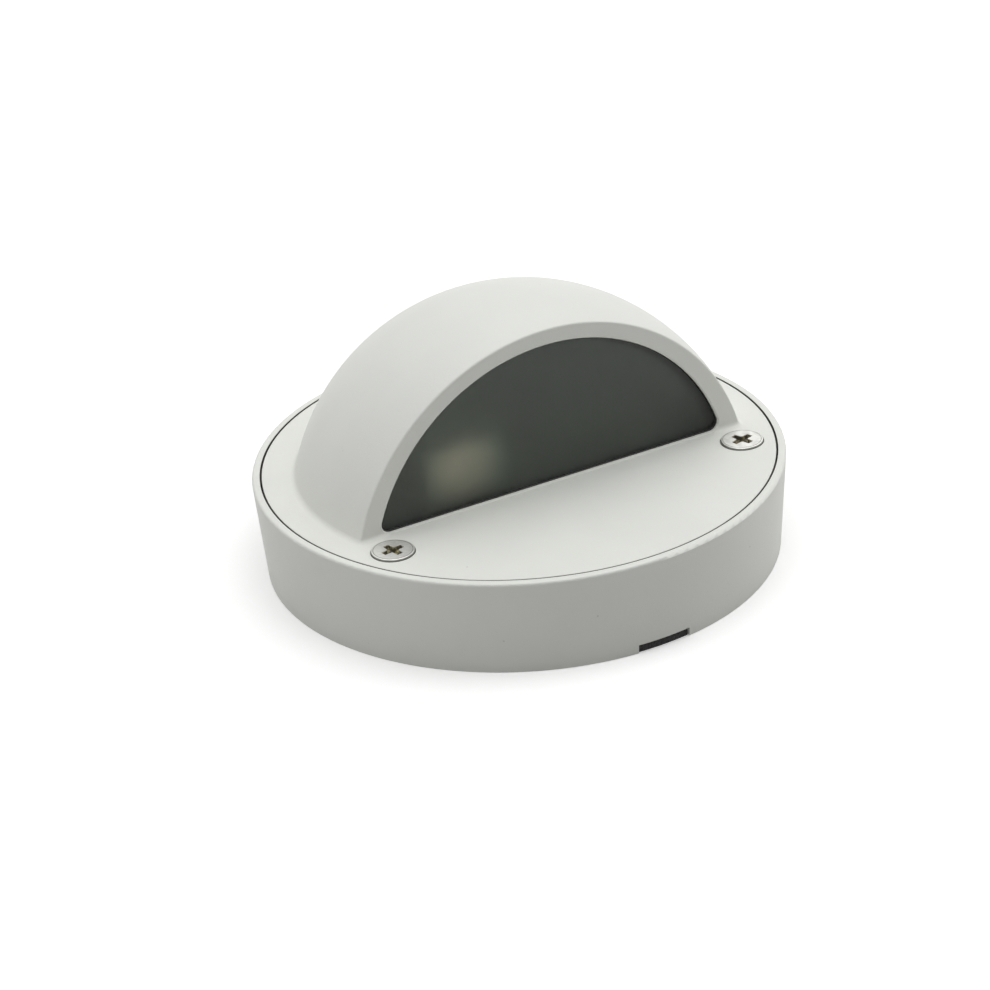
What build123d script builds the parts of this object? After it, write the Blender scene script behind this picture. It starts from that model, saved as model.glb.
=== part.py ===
from build123d import *
import math
import os

# Surface step light: a round cast cup with a cast cover whose quarter-sphere hood
# throws the light out of a half-moon window.  Millimetres.  The wall face is z = 0,
# +Z points out of the wall, and the window faces -Y.

# ------------------------------------------------------------ base casing
rim_radius = 55.0          # outside radius at the front rim
wall_draft = 1.7           # how much narrower the casting is at the wall
base_height = 20.6         # wall to front rim
rim_round = 0.6            # rounding of the rim's outer edge
rim_wall = 1.65            # wall of the rim round the cover
ledge_width = 2.95         # shelf that carries the cover's seal
floor_thickness = 2.2
back_rim_wall = 2.2        # wall of the back rim round the gasket recess
notch_width = 12.0         # drain notch in the back rim
notch_height = 1.9
notch_offset = 1.6         # sideways place of the notch
post_radius = 3.3          # posts under the reflector tray
post_inset = 5.1           # posts' axes, inwards from the tray's edge
post_angles = (90.0, -47.0, -133.0)
fixing_inset = 7.4         # wall fixing slots, inwards from the cup's inner wall
fixing_slot_width = 4.8
fixing_slot_length = 8.0

# ------------------------------------------------------------ seals and gasket
wall_gasket_thickness = 3.0
wall_gasket_clearance = 0.3
tongue_inset = 0.5         # gasket's tongue in the drain notch, behind the outside
tongue_clearance = 0.2     # tongue to the sides and top of the notch
cover_seal_thickness = 1.2
cover_seal_clearance = 0.15
grommet_x = 22.0
grommet_y = 6.0
grommet_hole_radius = 6.0
grommet_flange = 1.8       # how far the flanges reach past the hole
grommet_flange_thickness = 1.4
grommet_neck_length = 3.2
grommet_neck_wall = 1.2
grommet_bevel = 0.7        # bevels of the flange's edge and at the neck's foot
cable_radius = 3.6

# ------------------------------------------------------------ cover and hood
cover_thickness = 3.0
cover_gap = 0.4            # open gap between cover and rim
cover_edge_round = 0.2
hood_margin = 6.35         # cover plate left round the hood's foot
hood_drop = 11.9           # sphere's centre, below the cover's front
hood_forward = 1.0         # sphere's centre, in front of the axis
hood_wall = 2.6
hood_edge_round = 0.4      # edge between hood and face
hood_foot_round = 1.0      # hollow rounding where the hood meets the cover
face_offset = 14.5         # flat face, in front of the axis
web_thickness = 3.0        # wall of the flat face
band_top = 3.4             # face above the window
band_side = 4.3            # face beside the window, at the cover's front
sill_height = 0.3          # window's lower edge, above the cover
window_corner = 2.0
window_flare = 0.25        # bevel of the opening's front edge
lip_depth = 0.6            # face's lip in front of the glass

# ------------------------------------------------------------ glass
glass_thickness = 3.0
glass_overlap = 1.4        # glass edge, past the opening
glass_clearance = 0.2
channel_overrun = 1.0      # glass channel, run on into the hood's hollow
window_seal_thickness = 0.5
window_seal_reveal = 0.15  # seal seen inside the opening
retainer_thickness = 0.8
retainer_width = 2.8
retainer_tab_length = 7.4
retainer_pad_radius = 3.3
retainer_pad_height = 3.0
pad_bore_depth = 0.9       # screw bore's end, inside the cover plate
retainer_leg_lap = 0.2     # foot's overlap with the arched strip

# ------------------------------------------------------------ screws
cover_screw_radius = 2.5
cover_screw_head_radius = 4.4
cover_screw_head_height = 2.35
cover_screw_proud = 0.45   # head above the cover
cover_screw_crown = 0.25   # rounding of the head's edge
cover_screw_inset = 4.3    # axis, inwards from the cup's inner wall
cover_screw_angle = 27.5   # below the cross axis
cover_screw_turns = (10.0, 16.0)   # where the left and right recess have come to rest
cover_screw_tip_room = 1.5 # bore left under the screw's tip, above the floor
cover_screw_point = 0.6    # bevel of the screw's tip
washer_thickness = 0.6
washer_inset = 0.1         # washer's edge, inside the head's
boss_radius = 5.2
boss_clearance = 1.2       # cover boss, wider than the base boss it stands on
counterbore_floor = 2.5    # cover metal left under the screw's seat
head_clearance = 0.15
small_screw_radius = 1.5
small_head_radius = 2.7
small_head_height = 1.6
recess_share = 0.55        # depth of a cross recess, as a share of its head
recess_reach_share = 0.55  # reach of a recess arm, as a share of the head's radius
recess_arm_share = 0.34    # width of a recess arm, as a share of the head's radius
cross_slot_reach = 1.5     # cross slots of the small screws
cross_slot_half_width = 0.45
bevel_share = 0.35         # bevel of a pan head, as a share of its height
running_clearance = 0.05
hole_clearance = 0.25

# ------------------------------------------------------------ tray, bracket, lampholder
tray_drop = 2.8            # underside of the tray, below the cover's
tray_thickness = 0.8
tray_margin = 12.9         # tray edge to the cup's inner wall
tray_rim_drop = 1.6
tray_notch_depth = 4.5     # notch where the wires pass the tray's edge
tray_notch_width = 15.5
tray_screw_share = 0.6     # screw length, as a share of its post and the tray
bracket_thickness = 1.0
bracket_rise = 2.0         # space under the bridge
bracket_foot = 6.0
rivet_radius = 1.2
rivet_head_radius = 2.1
rivet_head_height = 0.7
holder_x = -16.0           # middle of the lampholder
holder_y = 3.0
holder_length = 18.0
holder_width = 18.0
holder_height = 12.4
holder_round = 1.2
pin_spacing = 9.0
pin_length = 8.0
pin_width = 2.6
pin_thickness = 0.7
pin_round = 1.15
pin_clearance = 0.2
contact_leaf = 0.4
contact_length = 10.5
contact_gap = 0.1          # contact leaf to pin
contact_heel = 1.0         # closed end of a contact clip
socket_wall = 4.0          # holder's front wall, in front of the contacts
holder_screw_place = 4.5   # screws, from the holder's middle
holder_bore_roof = 1.0     # screw bore's end, below the lamp's axis
holder_screw_room = 1.0    # bore left above a screw's tip

# ------------------------------------------------------------ capsule lamp
lamp_radius = 6.75
lamp_length = 37.0         # glass, from pinch end to tip
lamp_wall = 1.0
pinch_length = 8.5
pinch_width = 13.0
pinch_thickness = 3.6
pinch_round = 1.1
pinch_root = 2.7           # solid glass past the pinch, before the hollow
tip_radius = 1.6
tip_round = 1.3
tip_length = 1.2           # tip, past the bulb's round end
lamp_seat_gap = 0.3
filament_radius = 0.35
filament_length = 18.0
filament_width = 5.0
filament_bend = 1.5

# ------------------------------------------------------------ terminals and earth
terminal_x = -2.0
terminal_y = 6.0
pole_pitch = 8.6
pole_count = 3
terminal_length = 15.0
terminal_headroom = 0.6    # block's top to the tray
terminal_gap = 0.6         # half of the gap between two towers
terminal_round = 0.6
terminal_web_drop = 2.0    # webs' top, below the block's
terminal_web_inset = 1.0   # webs' ends, inside the towers'
barrel_floor = 2.0         # block's floor under a barrel
barrel_radius = 2.2
barrel_bore_radius = 1.35
barrel_length = 12.0
clamp_screw_radius = 1.25
clamp_screw_spacing = 7.0
clamp_screw_sink = 1.2     # screw top, below the body's top
clamp_slot_share = 0.25    # depth of a clamp screw's slot, as a share of its length
clamp_slot_width = 0.5
floor_screw_depth = 0.6    # depth of a screw in the floor, as a share of the floor
floor_bore_depth = 0.8
earth_x = -28.0
earth_y = 15.5
earth_boss_radius = 4.2
earth_lug_thickness = 0.8
earth_lug_radius = 3.6
earth_screw_radius = 2.0
earth_screw_head_radius = 3.5
earth_screw_head_height = 2.4
earth_screw_turn = 45.0
lug_barrel_radius = 1.5
lug_barrel_length = 5.0
lug_reach = 6.5            # ring centre to the barrel's start
wire_radius = 0.75
wire_bend_share = 0.45     # run taken by a bend, as a share of the shorter run beside it
wire_insertion = 4.0       # wire end, inside a terminal barrel
wire_lead = 8.2            # straight lead behind the lampholder
wire_lane = 3.2            # lane at the tray's edge, from the lampholder's centre line
wire_edge_gap = 1.5        # bend outside the tray's edge
wire_rise = 2.0            # bend above the tray
wire_fall = 4.6            # bend under the tray
wire_turn = 9.5            # lowest bend, inwards from the tray's edge
wire_sag = 1.8             # lowest bend, below the barrels' axis
wire_tail = 7.5            # straight end before the terminal block
earth_wire_lead = 1.5      # straight end behind the lug
earth_wire_tail = 2.0      # straight end before the terminal block

# ------------------------------------------------------------ worked out
rim_bore_radius = rim_radius - rim_wall
inner_radius = rim_bore_radius - ledge_width
back_radius = rim_radius - wall_draft
cover_radius = rim_bore_radius - cover_gap
floor_top = wall_gasket_thickness + floor_thickness
recess_radius = back_radius - back_rim_wall
cover_under = base_height - cover_thickness
ledge_level = cover_under - cover_seal_thickness
face_y = -face_offset
hood_y = -hood_forward
hood_z = base_height - hood_drop
hood_foot = cover_radius - hood_margin
hood_radius = math.hypot(hood_foot, hood_drop)
face_arc_radius = math.sqrt(hood_radius ** 2 - (face_offset - hood_forward) ** 2)
window_half = math.sqrt(face_arc_radius ** 2 - hood_drop ** 2) - band_side
window_rise = face_arc_radius - hood_drop - band_top
window_arc_radius = (window_half ** 2 + window_rise ** 2) / (2 * window_rise)
window_arc_z = base_height + window_rise - window_arc_radius
window_low = base_height + sill_height
screw_reach = inner_radius - cover_screw_inset
screw_x = screw_reach * math.cos(math.radians(cover_screw_angle))
screw_y = -screw_reach * math.sin(math.radians(cover_screw_angle))
head_under = base_height + cover_screw_proud - cover_screw_head_height
counterbore_level = head_under - washer_thickness
cover_screw_length = head_under - floor_top - cover_screw_tip_room
pad_level = counterbore_level - counterbore_floor
seal_front = face_y + lip_depth
glass_front = seal_front + window_seal_thickness
retainer_front = glass_front + glass_thickness
retainer_pad_level = cover_under - retainer_pad_height
retainer_tab_level = retainer_pad_level - retainer_thickness
pad_reach = inner_radius - retainer_pad_radius - 2 * hole_clearance
pad_y = retainer_front + retainer_tab_length - retainer_pad_radius
pad_x = math.sqrt(pad_reach ** 2 - pad_y ** 2)
tray_radius = inner_radius - tray_margin
post_reach = tray_radius - post_inset
tray_level = cover_under - tray_drop
tray_top = tray_level + tray_thickness
bridge_top = tray_top + bracket_rise + bracket_thickness
lamp_z = bridge_top + holder_height / 2
holder_back = holder_x - holder_length / 2
holder_front = holder_x + holder_length / 2
lamp_start = holder_front + lamp_seat_gap
contact_front = holder_front - socket_wall - running_clearance
contact_back = contact_front - contact_length
terminal_top = tray_level - terminal_headroom
terminal_web_top = terminal_top - terminal_web_drop
terminal_back = terminal_x - terminal_length / 2
barrel_z = floor_top + barrel_floor + barrel_radius
wire_end_x = terminal_x - barrel_length / 2 + wire_insertion
earth_lug_level = barrel_z - lug_barrel_radius
lug_start_x = earth_x + lug_reach
lug_end_x = lug_start_x + lug_barrel_length
fixing_reach = inner_radius - fixing_inset


# ------------------------------------------------------------ shapes used by several pieces
def disc(radius, low, high, x=0.0, y=0.0):
    """Upright round bar between two levels."""
    return Pos(x, y, low) * Cylinder(radius, high - low, align=(Align.CENTER, Align.CENTER, Align.MIN))


def ring(outer, inner, low, high, x=0.0, y=0.0):
    """Upright tube between two levels."""
    return disc(outer, low, high, x, y) - disc(inner, low, high, x, y)


def block(x_low, x_high, y_low, y_high, z_low, z_high):
    """Square block between two corners."""
    size = Box(x_high - x_low, y_high - y_low, z_high - z_low)
    return Pos((x_low + x_high) / 2, (y_low + y_high) / 2, (z_low + z_high) / 2) * size


def bar_x(radius, x_low, x_high, y, z):
    """Round bar along X."""
    size = Cylinder(radius, x_high - x_low, rotation=(0, 90, 0))
    return Pos((x_low + x_high) / 2, y, z) * size


def slot_cut(width, length, low, high, x, y):
    """Upright slot whose long way is along Y."""
    half = (length - width) / 2
    middle = block(x - width / 2, x + width / 2, y - half, y + half, low, high)
    return middle + disc(width / 2, low, high, x, y - half) + disc(width / 2, low, high, x, y + half)


def turned(points):
    """Solid turned about the Z axis from a profile of (radius, level) points."""
    outline = Polyline(*[(radius, 0, level) for radius, level in points], close=True)
    return revolve(make_face(outline), Axis.Z, 360)


def circle_edges(solid, radius, level):
    """Round edges of one radius at one level."""
    found = []
    for edge in solid.edges().filter_by(GeomType.CIRCLE):
        if abs(edge.radius - radius) < 0.01 and abs(edge.center().Z - level) < 0.01:
            found.append(edge)
    return found


def circle_edges_facing(solid, radius, y):
    """Round edges of one radius in one plane across Y."""
    found = []
    for edge in solid.edges().filter_by(GeomType.CIRCLE):
        if abs(edge.radius - radius) < 0.01 and abs(edge.center().Y - y) < 0.01:
            found.append(edge)
    return found


def window_face(margin, y):
    """Half-moon of the window, grown by a margin, at one depth."""
    low = window_low - margin
    radius = window_arc_radius + margin
    half = math.sqrt(radius ** 2 - (low - window_arc_z) ** 2)
    top = window_arc_z + radius
    arc = ThreePointArc((half, 0, low), (0, 0, top), (-half, 0, low))
    face = make_face([arc, Line((-half, 0, low), (half, 0, low))])
    corners = [v for v in face.vertices() if abs(v.Z - low) < 0.01]
    return Pos(0, y, 0) * fillet(corners, window_corner + margin)


def window_prism(margin, y_low, y_high):
    """Half-moon of the window, grown by a margin, between two depths."""
    return extrude(window_face(margin, y_low), amount=y_high - y_low, dir=(0, 1, 0))


def cross_recess(head_radius, depth, top, x, y, angle):
    """Four-armed driver recess, narrowing downwards, with one arm at an angle to X."""
    reach = head_radius * recess_reach_share
    arm = head_radius * recess_arm_share
    cut = disc(arm * 3 / 4, top - depth, top, x, y)
    for turn in (angle, angle + 90):
        mouth = Pos(x, y, top) * Rot(0, 0, turn) * Rectangle(2 * reach, arm)
        foot = Pos(x, y, top - depth) * Rot(0, 0, turn) * Rectangle(reach, arm / 2)
        cut += loft([mouth, foot])
    return cut


def small_screw(x, y, seat, length, up=1):
    """Small pan-head screw; its head lies above the seat, or below it where up is -1."""
    shank_end = seat - up * length
    head_end = seat + up * small_head_height
    shank = disc(small_screw_radius, min(seat, shank_end), max(seat, shank_end), x, y)
    head = disc(small_head_radius, min(seat, head_end), max(seat, head_end), x, y)
    head = chamfer(circle_edges(head, small_head_radius, head_end), small_head_height * bevel_share)
    slot_end = head_end - up * small_head_height * recess_share
    low = min(head_end, slot_end)
    high = max(head_end, slot_end)
    long = cross_slot_reach
    thin = cross_slot_half_width
    screw = shank + head - block(x - long, x + long, y - thin, y + thin, low, high)
    return screw - block(x - thin, x + thin, y - long, y + long, low, high)


def wire(points, name):
    """Round wire along straight runs joined by tangent arcs as large as the runs allow."""
    vectors = [Vector(*point) for point in points]
    radii = []
    for before, corner, after in zip(vectors, vectors[1:], vectors[2:]):
        turn = (corner - before).get_angle(after - corner)
        shorter = min((corner - before).length, (after - corner).length)
        radii.append(wire_bend_share * shorter / math.tan(math.radians(turn) / 2))
    path = FilletPolyline(*vectors, radius=radii)
    start = Plane(origin=path @ 0, z_dir=path % 0)
    solid = sweep(start * Circle(wire_radius), path=path)
    share = solid.volume / (math.pi * wire_radius ** 2 * path.length)
    print(name, "radii", [round(radius, 1) for radius in radii], "length", round(path.length, 1),
          "volume share", round(share, 4))
    return solid


def two_sides(make):
    """The same piece on both sides, as one group."""
    return [make(-1), make(1)]


# ------------------------------------------------------------ base body
def make_base_casing():
    """Cast cup with its rim, shelf, floor, screw bosses, posts, slots and drain notch."""
    cup = turned([
        (0, wall_gasket_thickness), (recess_radius, wall_gasket_thickness), (recess_radius, 0),
        (back_radius, 0), (rim_radius, base_height), (rim_bore_radius, base_height),
        (rim_bore_radius, ledge_level), (inner_radius, ledge_level), (inner_radius, floor_top),
        (0, floor_top)])
    cup = fillet(circle_edges(cup, rim_radius, base_height), rim_round)
    inside = disc(inner_radius + ledge_width / 2, floor_top, pad_level)
    for side in (-1, 1):
        x = side * screw_x
        cup += disc(boss_radius, floor_top, pad_level, x, screw_y) & inside
        cup -= disc(cover_screw_radius + running_clearance, floor_top, pad_level, x, screw_y)
    for angle in post_angles:
        x, y = post_place(angle)
        cup += disc(post_radius, floor_top, tray_level, x, y)
        cup -= disc(small_screw_radius + running_clearance, floor_top, tray_level, x, y)
    cup += disc(earth_boss_radius, floor_top, earth_lug_level, earth_x, earth_y)
    cup -= disc(earth_screw_radius + running_clearance, floor_top - floor_thickness * floor_bore_depth,
                earth_lug_level, earth_x, earth_y)
    cup -= disc(small_screw_radius + running_clearance, floor_top - floor_thickness * floor_bore_depth,
                floor_top, terminal_x, terminal_screw_y())
    cup -= disc(grommet_hole_radius, wall_gasket_thickness, floor_top, grommet_x, grommet_y)
    for side in (-1, 1):
        cup -= slot_cut(fixing_slot_width, fixing_slot_length, wall_gasket_thickness, floor_top,
                        0, side * fixing_reach)
    notch = block(notch_offset - notch_width / 2, notch_offset + notch_width / 2,
                  -rim_radius, -recess_radius + back_rim_wall, 0, notch_height)
    return cup - notch


def post_place(angle):
    """Place of a tray post at an angle about the axis."""
    return (post_reach * math.cos(math.radians(angle)), post_reach * math.sin(math.radians(angle)))


def terminal_screw_y():
    """Fixing screw of the terminal block, between its first two poles."""
    return terminal_y - pole_pitch / 2


def make_wall_gasket():
    """Foam pad that fills the recess in the back, with a tongue in the drain notch."""
    pad = disc(recess_radius - wall_gasket_clearance, 0, wall_gasket_thickness)
    half = notch_width / 2 - tongue_clearance
    tongue = block(notch_offset - half, notch_offset + half, -back_radius, -recess_radius + back_rim_wall,
                   0, notch_height - tongue_clearance)
    pad += tongue & disc(back_radius - tongue_inset, 0, notch_height)
    hole = grommet_hole_radius + grommet_flange + wall_gasket_clearance
    pad -= disc(hole, 0, wall_gasket_thickness, grommet_x, grommet_y)
    for side in (-1, 1):
        pad -= slot_cut(fixing_slot_width, fixing_slot_length, 0, wall_gasket_thickness,
                        0, side * fixing_reach)
    return pad


def make_cable_grommet():
    """Rubber inlet held by its groove in the floor, with a neck for the cable."""
    hole = grommet_hole_radius
    flange = hole + grommet_flange
    neck = cable_radius + grommet_neck_wall
    low = wall_gasket_thickness - grommet_flange_thickness
    high = floor_top + grommet_flange_thickness
    body = turned([
        (cable_radius, low), (flange, low), (flange, wall_gasket_thickness),
        (hole - running_clearance, wall_gasket_thickness), (hole - running_clearance, floor_top),
        (flange, floor_top), (flange - grommet_bevel, high), (neck + grommet_bevel, high),
        (neck, high + grommet_neck_length), (cable_radius, high + grommet_neck_length)])
    return Pos(grommet_x, grommet_y, 0) * body


def make_cover_gasket():
    """Flat black seal on the shelf under the cover."""
    return ring(rim_bore_radius - cover_seal_clearance, inner_radius + cover_seal_clearance,
                ledge_level, cover_under)


def make_reflector_tray():
    """White sheet tray over the wiring, with a turned-down rim and a wire notch."""
    tray = disc(tray_radius, tray_level - tray_rim_drop, tray_top)
    tray -= disc(tray_radius - tray_thickness, tray_level - tray_rim_drop, tray_level)
    tray -= block(-tray_radius, -tray_radius + tray_notch_depth, holder_y - tray_notch_width / 2,
                  holder_y + tray_notch_width / 2, tray_level - tray_rim_drop, tray_top)
    for angle in post_angles:
        x, y = post_place(angle)
        tray -= disc(small_screw_radius + hole_clearance, tray_level, tray_top, x, y)
    for side in (-1, 1):
        tray -= disc(rivet_radius + running_clearance, tray_level, tray_top,
                     holder_x, holder_y + side * foot_y())
    return tray


def make_tray_screws():
    """Three screws through the tray into the posts."""
    length = (tray_top - floor_top) * tray_screw_share
    return [small_screw(*post_place(angle), tray_top, length) for angle in post_angles]


def foot_y():
    """Middle of a bracket foot, from the lampholder's centre line."""
    return holder_width / 2 + bracket_thickness + (bracket_foot - bracket_thickness) / 2


def make_holder_bracket():
    """Bridge of bent sheet on two feet, under the lampholder."""
    inside = holder_width / 2
    outside = inside + bracket_thickness
    low = holder_back
    high = holder_front
    bracket = block(low, high, holder_y - outside, holder_y + outside,
                    bridge_top - bracket_thickness, bridge_top)
    for side in (-1, 1):
        near, far = sorted((holder_y + side * inside, holder_y + side * outside))
        bracket += block(low, high, near, far, tray_top, bridge_top)
        near, far = sorted((holder_y + side * inside, holder_y + side * (inside + bracket_foot)))
        bracket += block(low, high, near, far, tray_top, tray_top + bracket_thickness)
        bracket -= disc(rivet_radius + running_clearance, tray_top, tray_top + bracket_thickness,
                        holder_x, holder_y + side * foot_y())
    for x in holder_screw_places():
        bracket -= disc(small_screw_radius + hole_clearance, bridge_top - bracket_thickness,
                        bridge_top, x, holder_y)
    return bracket


def holder_screw_places():
    """Two screws on the lampholder's centre line."""
    return (holder_x - holder_screw_place, holder_x + holder_screw_place)


def make_bracket_rivets():
    """Rivet through each bracket foot and the tray."""
    def rivet(side):
        y = holder_y + side * foot_y()
        top = tray_top + bracket_thickness
        low = tray_level - rivet_head_height
        high = top + rivet_head_height
        head = disc(rivet_head_radius, top, high, holder_x, y)
        head = chamfer(circle_edges(head, rivet_head_radius, high), rivet_head_height / 2)
        tail = disc(rivet_head_radius, low, tray_level, holder_x, y)
        return head + disc(rivet_radius, low, high, holder_x, y) + tail
    return two_sides(rivet)


def make_lampholder():
    """Ceramic block with two sockets, contact chambers and screw holes."""
    half = holder_width / 2
    low = bridge_top
    body = block(holder_back, holder_front, holder_y - half, holder_y + half, low, low + holder_height)
    body = fillet(body.edges().filter_by(Axis.X), holder_round)
    chamber_y = pin_width / 2 + 2 * contact_leaf + pin_clearance
    chamber_z = chamber_height() / 2
    for side in (-1, 1):
        y = holder_y + side * pin_spacing / 2
        body -= block(holder_back, holder_front - socket_wall, y - chamber_y, y + chamber_y,
                      lamp_z - chamber_z, lamp_z + chamber_z)
        body -= block(holder_front - socket_wall, holder_front, y - pin_width / 2 - pin_clearance,
                      y + pin_width / 2 + pin_clearance, lamp_z - pin_thickness / 2 - pin_clearance,
                      lamp_z + pin_thickness / 2 + pin_clearance)
    for x in holder_screw_places():
        body -= disc(small_screw_radius + running_clearance, low, lamp_z - holder_bore_roof, x, holder_y)
    return body


def chamber_height():
    """Height of a contact chamber, its contact's height and a clearance."""
    return pin_thickness + 2 * contact_gap + 2 * contact_leaf + 2 * running_clearance


def make_lamp_contacts():
    """Spring clip round each pin, closed behind it where the wire is crimped."""
    def clip(side):
        y = holder_y + side * pin_spacing / 2
        outer = pin_thickness / 2 + contact_gap + contact_leaf
        inner = outer - contact_leaf
        half = pin_width / 2
        body = block(contact_back, contact_front, y - half, y + half, lamp_z - outer, lamp_z + outer)
        return body - block(contact_back + contact_heel, contact_front, y - half, y + half,
                            lamp_z - inner, lamp_z + inner)
    return two_sides(clip)


def make_holder_screws():
    """Screws up through the bridge into the ceramic."""
    seat = bridge_top - bracket_thickness
    length = lamp_z - holder_bore_roof - holder_screw_room - seat
    return [small_screw(x, holder_y, seat, length, up=-1) for x in holder_screw_places()]


def pole_places():
    """Centre line of each pole of the terminal block."""
    first = terminal_y - pole_pitch * (pole_count - 1) / 2
    return [first + pole_pitch * index for index in range(pole_count)]


def make_terminal_block():
    """Moulded block: one tower for each pole, with webs between them."""
    half = terminal_length / 2
    tower_half = pole_pitch / 2 - terminal_gap
    web_half = half - terminal_web_inset
    body = block(terminal_x - web_half, terminal_x + web_half, pole_places()[0], pole_places()[-1],
                 floor_top, terminal_web_top)
    for y in pole_places():
        tower = block(terminal_x - half, terminal_x + half, y - tower_half, y + tower_half,
                      floor_top, terminal_top)
        body += fillet(tower.edges().filter_by(Axis.Z), terminal_round)
    for y in pole_places():
        body -= bar_x(barrel_radius + running_clearance, terminal_x - half, terminal_x + half, y, barrel_z)
        for x in clamp_places():
            body -= disc(clamp_screw_radius + 2 * running_clearance, barrel_z, terminal_top, x, y)
    body -= disc(small_screw_radius + running_clearance, floor_top, terminal_top,
                 terminal_x, terminal_screw_y())
    return body - disc(small_head_radius + hole_clearance, terminal_web_top, terminal_top,
                       terminal_x, terminal_screw_y())


def clamp_places():
    """Two clamping screws on each barrel."""
    return (terminal_x - clamp_screw_spacing / 2, terminal_x + clamp_screw_spacing / 2)


def make_terminal_barrels():
    """Brass tube in each pole."""
    barrels = []
    half = barrel_length / 2
    for y in pole_places():
        barrel = bar_x(barrel_radius, terminal_x - half, terminal_x + half, y, barrel_z)
        barrel -= bar_x(barrel_bore_radius, terminal_x - half, terminal_x + half, y, barrel_z)
        for x in clamp_places():
            barrel -= disc(clamp_screw_radius + running_clearance, barrel_z, barrel_z + 2 * barrel_radius, x, y)
        barrels.append(barrel)
    return barrels


def make_terminal_screws():
    """Slotted clamping screws of the barrels."""
    screws = []
    top = terminal_top - clamp_screw_sink
    tip = barrel_z + wire_radius + running_clearance
    slot_floor = top - (top - tip) * clamp_slot_share
    for y in pole_places():
        for x in clamp_places():
            slot = block(x - clamp_screw_radius, x + clamp_screw_radius, y - clamp_slot_width / 2,
                         y + clamp_slot_width / 2, slot_floor, top)
            screws.append(disc(clamp_screw_radius, tip, top, x, y) - slot)
    return screws


def make_terminal_fixing_screw():
    """Screw between two poles, down into the floor."""
    length = terminal_web_top - floor_top + floor_thickness * floor_screw_depth
    return small_screw(terminal_x, terminal_screw_y(), terminal_web_top, length)


def make_earth_lug():
    """Ring terminal with its crimped barrel."""
    lug = disc(earth_lug_radius, earth_lug_level, earth_lug_level + earth_lug_thickness, earth_x, earth_y)
    lug += block(earth_x, lug_start_x, earth_y - lug_barrel_radius, earth_y + lug_barrel_radius,
                 earth_lug_level, earth_lug_level + earth_lug_thickness)
    lug += bar_x(lug_barrel_radius, lug_start_x, lug_end_x, earth_y, barrel_z)
    lug -= disc(earth_screw_radius + running_clearance, earth_lug_level,
                earth_lug_level + earth_lug_thickness, earth_x, earth_y)
    return lug


def make_earth_screw():
    """Pan-head screw that holds the earth lug on its boss."""
    seat = earth_lug_level + earth_lug_thickness
    top = seat + earth_screw_head_height
    screw = disc(earth_screw_head_radius, seat, top, earth_x, earth_y)
    screw = chamfer(circle_edges(screw, earth_screw_head_radius, top), earth_screw_head_height * bevel_share)
    screw += disc(earth_screw_radius, floor_top - floor_thickness * floor_screw_depth, seat, earth_x, earth_y)
    return screw - cross_recess(earth_screw_head_radius, earth_screw_head_height * recess_share,
                                top, earth_x, earth_y, earth_screw_turn)


def socket_wire(side, pole, name):
    """Lead from one socket of the lampholder, through the tray's notch to a pole of the block."""
    start = holder_y + side * pin_spacing / 2
    lane = holder_y + side * wire_lane
    end = pole_places()[pole]
    return wire([
        (contact_back, start, lamp_z),
        (holder_back - wire_lead, start, lamp_z),
        (-tray_radius - wire_edge_gap, lane, tray_top + wire_rise),
        (-tray_radius, lane, tray_level - wire_fall),
        (-tray_radius + wire_turn, lane, barrel_z - wire_sag),
        (terminal_back - wire_tail, end, barrel_z),
        (wire_end_x, end, barrel_z)], name)


def make_earth_wire():
    """Short lead from the earth lug to the last pole."""
    end = pole_places()[-1]
    return wire([
        (lug_end_x, earth_y, barrel_z), (lug_end_x + earth_wire_lead, earth_y, barrel_z),
        (terminal_back - earth_wire_tail, end, barrel_z), (wire_end_x, end, barrel_z)], "earth_wire")


# ------------------------------------------------------------ lamp body
def make_capsule_lamp():
    """Glass capsule: flat pinch and a round bulb with its tip, hollow inside."""
    bulb_start = lamp_start + pinch_length
    bulb_end = lamp_start + lamp_length
    pinch = block(lamp_start, bulb_start + pinch_root, holder_y - pinch_width / 2,
                  holder_y + pinch_width / 2, lamp_z - pinch_thickness / 2, lamp_z + pinch_thickness / 2)
    pinch = fillet(pinch.edges().filter_by(Axis.X), pinch_round)
    tube_end = bulb_end - lamp_radius - tip_length
    bulb = bar_x(lamp_radius, bulb_start, tube_end, holder_y, lamp_z)
    bulb = fillet([edge for edge in bulb.edges().filter_by(GeomType.CIRCLE)
                   if abs(edge.center().X - bulb_start) < 0.01], lamp_radius / 2)
    bulb += Pos(tube_end, holder_y, lamp_z) * Sphere(lamp_radius)
    tip = bar_x(tip_radius, tube_end, bulb_end, holder_y, lamp_z)
    bulb += fillet([edge for edge in tip.edges().filter_by(GeomType.CIRCLE)
                    if abs(edge.center().X - bulb_end) < 0.01], tip_round)
    room = bar_x(lamp_radius - lamp_wall, bulb_start + pinch_root, tube_end, holder_y, lamp_z)
    room += Pos(tube_end, holder_y, lamp_z) * Sphere(lamp_radius - lamp_wall)
    return bulb + pinch - room


def make_lamp_pins():
    """Flat wire loops that plug into the holder."""
    def pin(side):
        y = holder_y + side * pin_spacing / 2
        half = pin_thickness / 2
        low = lamp_start - pin_length
        body = block(low, lamp_start, y - pin_width / 2, y + pin_width / 2, lamp_z - half, lamp_z + half)
        return fillet([edge for edge in body.edges().filter_by(Axis.Z)
                       if abs(edge.center().X - low) < 0.01], pin_round)
    return two_sides(pin)


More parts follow.
